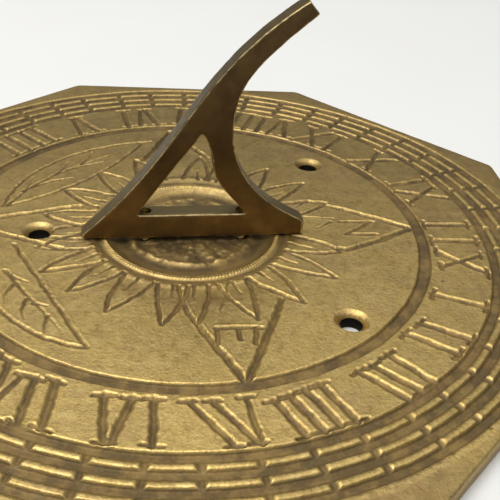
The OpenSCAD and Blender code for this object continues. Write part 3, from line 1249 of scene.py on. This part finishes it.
@dataclass(frozen=True)
class PlateBrass:
    """Dull cast brass with brown soil on the floor of everything that is cut into it, with painted shade on
    its bores' walls and towards its far side.
    """

    land: Colour = (0.66, 0.47, 0.168, 1.0)
    pale: Colour = (0.76, 0.57, 0.235, 1.0)
    olive: Colour = (0.53, 0.385, 0.138, 1.0)
    brown: Colour = (0.20, 0.128, 0.042, 1.0)
    umber: Colour = (0.125, 0.082, 0.032, 1.0)
    slate: Colour = (0.17, 0.142, 0.072, 1.0)
    rose: Colour = (0.50, 0.345, 0.155, 1.0)
    # Painted shade for the bores' walls.
    painted_bore_shade: Colour = (0.012, 0.010, 0.007, 1.0)
    # Painted shade tint for the plate's far side.
    far_side_shade_tint: Colour = (0.74, 0.735, 0.75, 1.0)

    def material(self) -> Finish:
        """Builds the plate's finish."""
        t = NodeTree(bpy.data.materials.new("cast_brass_plate"))
        up = t.part(t.add("ShaderNodeNewGeometry").outputs["True Normal"], "Z")
        back = t.span(up, -0.8, -0.5, 1.0, 0.0)
        wall = t.span(t.math("ABSOLUTE", up, 0.0), 0.3, 0.6, 1.0, 0.0)
        soil = t.math("SUBTRACT", t.attribute("soil"), back)
        soil = t.math("MAXIMUM", soil, t.math("MULTIPLY", back, 0.5))
        patch = t.noise(6.0, 5.0, 0.65)
        grain = t.noise(0.9, 4.0, 0.7)
        speck = t.noise(1.6, 3.0, 0.6)
        mottle = t.noise(2.6, 5.0, 0.75)
        brush = t.noise(2.4, 4.0, 0.6, t.stretched((1.0, 0.1, 1.0), 0.2))
        coats = (
            (t.noise(30.0, 3.0, 0.6), 0.4, 0.62, 0.0, 0.8, self.olive),
            (t.noise(11.0, 4.0, 0.65), 0.46, 0.66, 0.0, 0.75, self.rose),
            (patch, 0.48, 0.72, 0.0, 0.6, self.pale),
            (grain, 0.48, 0.62, 0.0, 0.9, self.olive),
            (speck, 0.58, 0.72, 0.0, 0.35, self.brown),
            (speck, 0.3, 0.42, 0.5, 0.0, self.pale),
            (brush, 0.55, 0.7, 0.0, 0.3, self.pale),
            (mottle, 0.5, 0.66, 0.0, 0.32, self.brown),
            (mottle, 0.34, 0.48, 0.4, 0.0, self.pale),
        )
        colour = self.land
        for value, low, high, start, end, tint in coats:
            colour = t.mix(t.span(value, low, high, start, end), colour, tint)
        floor = t.mix(t.span(patch, 0.4, 0.6), self.brown, self.umber)
        floor = t.mix(t.span(speck, 0.56, 0.7, 0.0, 0.7), floor, self.slate)
        dirt = t.math("MULTIPLY", t.span(soil, 0.3, 0.9), t.span(patch, 0.3, 0.6, 0.8, 0.97))
        colour = t.mix(dirt, colour, floor)
        spots = t.math("MULTIPLY", t.span(speck, 0.68, 0.76), t.span(patch, 0.5, 0.62, 0.0, 0.75))
        colour = t.mix(spots, colour, self.umber)
        # Painted shade: the plate's colour is darkened towards its far side, -X.
        far_side_painted_shade = t.span(t.part(t.place, "X"), -60 * MM, 45 * MM, 1.0, 0.0)
        colour = t.mix(far_side_painted_shade, colour, self.far_side_shade_tint, "MULTIPLY")
        side = t.math("MULTIPLY", t.attribute("side"), wall)
        colour = t.mix(t.span(side, 0.2, 1.0, 0.0, 0.55), colour, self.brown)
        # Painted shade: the walls of the bores are painted near-black.
        bore = t.math("MULTIPLY", t.attribute("bore"), wall)
        colour = t.mix(t.span(bore, 0.1, 0.7), colour, self.painted_bore_shade)
        rough = t.math("ADD", t.span(soil, 0.1, 1.0, 0.38, 0.58), t.span(grain, 0.3, 0.7, -0.06, 0.08))
        metal = t.span(soil, 0.3, 1.0, 1.0, 0.55)
        normal = t.bump(t.noise(0.4, 3.0, 0.65), 0.05, 0.8)
        normal = t.bump(grain, 0.17, 0.8, normal)
        normal = t.bump(brush, 0.08, 0.6, normal)
        return t.finish(colour, metal, rough, normal)


@dataclass(frozen=True)
class GnomonBrass:
    """Brass gone brown all over, with painted highlights on its rounded edges, painted top light and some
    rubbing on its upward faces, and painted shade higher up.
    """

    brown: Colour = (0.215, 0.138, 0.056, 1.0)
    umber: Colour = (0.15, 0.096, 0.042, 1.0)
    shaded: Colour = (0.50, 0.48, 0.46, 1.0)
    top_light_and_rub: Colour = (0.20, 0.152, 0.070, 1.0)
    painted_edge_highlight: Colour = (0.80, 0.62, 0.30, 1.0)

    def material(self) -> Finish:
        """Builds the gnomon's finish."""
        t = NodeTree(bpy.data.materials.new("cast_brass_gnomon"))
        cloud = t.noise(9.0, 3.0, 0.6)
        patch = t.noise(2.2, 4.0, 0.6)
        colour = t.mix(t.span(cloud, 0.35, 0.65), self.brown, self.umber)
        # Painted shade: the gnomon's colour is darkened higher up.
        colour = t.mix(t.span(t.attribute("height"), 0.1, 0.4), colour, self.shaded, "MULTIPLY")
        # Painted top light with some rubbing: upward faces are tinted a touch lighter.
        top = t.math("MULTIPLY", t.attribute("upper"), t.span(patch, 0.25, 0.6, 0.7, 1.0))
        colour = t.mix(top, colour, self.top_light_and_rub)
        # Painted highlight: the rounded edges are painted pale gold.
        edge_highlight = t.math("MULTIPLY", t.attribute("arris"), t.span(patch, 0.35, 0.6, 0.25, 0.9))
        colour = t.mix(edge_highlight, colour, self.painted_edge_highlight)
        colour = t.mix(t.span(t.noise(0.9, 3.0, 0.6), 0.66, 0.76, 0.0, 0.6), colour, self.umber)
        rough = t.span(t.attribute("upper"), 0.0, 1.0, 0.42, 0.4)
        rough = t.math("ADD", rough, t.span(patch, 0.3, 0.7, -0.06, 0.08))
        normal = t.bump(t.noise(0.4, 3.0, 0.6), 0.03, 0.6)
        normal = t.bump(patch, 0.08, 0.5, normal)
        return t.finish(colour, 0.9, rough, normal)


@dataclass(frozen=True)
class ScrewBrass:
    """Turned yellow brass, dulled in patches."""

    yellow: Colour = (0.66, 0.50, 0.22, 1.0)
    dull: Colour = (0.36, 0.26, 0.11, 1.0)

    def material(self) -> Finish:
        """Builds the screws' finish."""
        t = NodeTree(bpy.data.materials.new("turned_brass_screws"))
        patch = t.noise(1.6, 3.0, 0.6)
        colour = t.mix(t.span(patch, 0.4, 0.62), self.yellow, self.dull)
        turned = t.noise(0.5, 2.0, 0.5, t.stretched((1.0, 1.0, 8.0)))
        rough = t.span(patch, 0.3, 0.7, 0.28, 0.44)
        return t.finish(colour, 1.0, rough, t.bump(turned, 0.02, 0.5))


@dataclass(frozen=True)
class PaperFloor:
    """A pale matt floor with a faint grain."""

    pale: Colour = (0.83, 0.84, 0.83, 1.0)
    shade: Colour = (0.82, 0.83, 0.82, 1.0)

    def material(self) -> Finish:
        """Builds the floor's finish."""
        t = NodeTree(bpy.data.materials.new("pale_floor"))
        colour = t.mix(t.span(t.noise(60.0, 2.0, 0.5), 0.35, 0.65), self.pale, self.shade)
        return t.finish(colour, 0.0, 0.7, t.bump(t.noise(1.5, 2.0, 0.5), 0.02, 0.2))


# ---- the studio


@dataclass
class Studio:
    """The floor, the soft light and the camera.

    Attributes:
        eye: Where the camera stands, in metres.
        azimuth: The side that it stands on, in degrees.
        pitch: How far it looks down, in degrees.
        roll: How far it leans, in degrees.
        lens: Its focal length in millimetres on a 36 mm sensor.
        side_light: The span of the sky's Y and the light's strengths at its ends.
        high_light: The same along the sky's Z.
    """

    eye: Place = (0.18825, -0.0040, 0.12096)
    azimuth: float = 83.62
    pitch: float = 33.24
    roll: float = 4.24
    lens: float = 57.43
    floor_size: float = 6.0
    side_light: tuple[float, float, float, float] = (-0.9, 0.9, 0.26, 0.07)
    high_light: tuple[float, float, float, float] = (0.36, 0.92, 0.0, 1.04)
    sky_tint: Colour = (1.0, 0.985, 0.96, 1.0)
    lamp_place: Place = (0.10, -0.35, 0.9)
    lamp_size: float = 0.6
    lamp_power: float = 4.4
    lamp_tint: tuple[float, float, float] = (1.0, 0.98, 0.95)

    def add_floor(self) -> None:
        """Lays the floor under the plate."""
        bpy.ops.mesh.primitive_grid_add(x_subdivisions=24, y_subdivisions=24, size=self.floor_size)
        floor = newest("floor")
        floor.data.transform(Matrix.Translation((0.0, 0.0, -0.0002)))
        floor.data.materials.append(PaperFloor().material())

    def add_sky(self) -> None:
        """Surrounds the scene with soft light, brighter overhead and to the south."""
        bpy.context.scene.world = bpy.data.worlds.new("studio")
        t = NodeTree(bpy.context.scene.world, "Generated")
        south = t.span(t.part(t.place, "Y"), *self.side_light, kind="LINEAR")
        strength = t.math("ADD", south, t.span(t.part(t.place, "Z"), *self.high_light))
        background = t.add("ShaderNodeBackground")
        background.inputs["Color"].default_value = self.sky_tint
        t.feed(background.inputs["Strength"], strength)
        t.feed(t.add("ShaderNodeOutputWorld").inputs[0], background.outputs[0])

    def add_lamp(self) -> None:
        """Hangs one square soft lamp overhead, facing the sundial."""
        lamp = bpy.data.lights.new("overhead", "AREA")
        lamp.shape = "SQUARE"
        lamp.size = self.lamp_size
        lamp.energy = self.lamp_power
        lamp.color = self.lamp_tint
        holder = bpy.data.objects.new("overhead", lamp)
        bpy.context.scene.collection.objects.link(holder)
        holder.location = self.lamp_place
        holder.rotation_euler = (-Vector(self.lamp_place)).to_track_quat("-Z", "Y").to_euler()

    def add_camera(self) -> None:
        """Sets up the camera."""
        data = bpy.data.cameras.new("camera")
        data.lens = self.lens
        data.sensor_width = 36.0
        data.clip_start = NEAR_CLIP
        data.clip_end = FAR_CLIP
        camera = bpy.data.objects.new("camera", data)
        bpy.context.scene.collection.objects.link(camera)
        turns = ((self.azimuth, "Z"), (90.0 - self.pitch, "X"), (self.roll, "Z"))
        stand = Matrix.Translation(self.eye)
        for degrees, axis in turns:
            stand @= Matrix.Rotation(math.radians(degrees), 4, axis)
        camera.matrix_world = stand
        bpy.context.scene.camera = camera

    def build(self) -> None:
        """Builds the floor, the light and the camera."""
        self.add_floor()
        self.add_sky()
        self.add_lamp()
        self.add_camera()
        bpy.context.scene.view_settings.view_transform = "Standard"
        LOG.info("studio ready")


def main() -> None:
    """Builds the sundial and its studio."""
    logging.basicConfig(level=logging.INFO, format="%(name)s: %(message)s")
    DialPlate().build(PlateBrass().material())
    Gnomon().build(GnomonBrass().material())
    GnomonScrews().build(ScrewBrass().material())
    Studio().build()


if __name__ == "__main__":
    main()
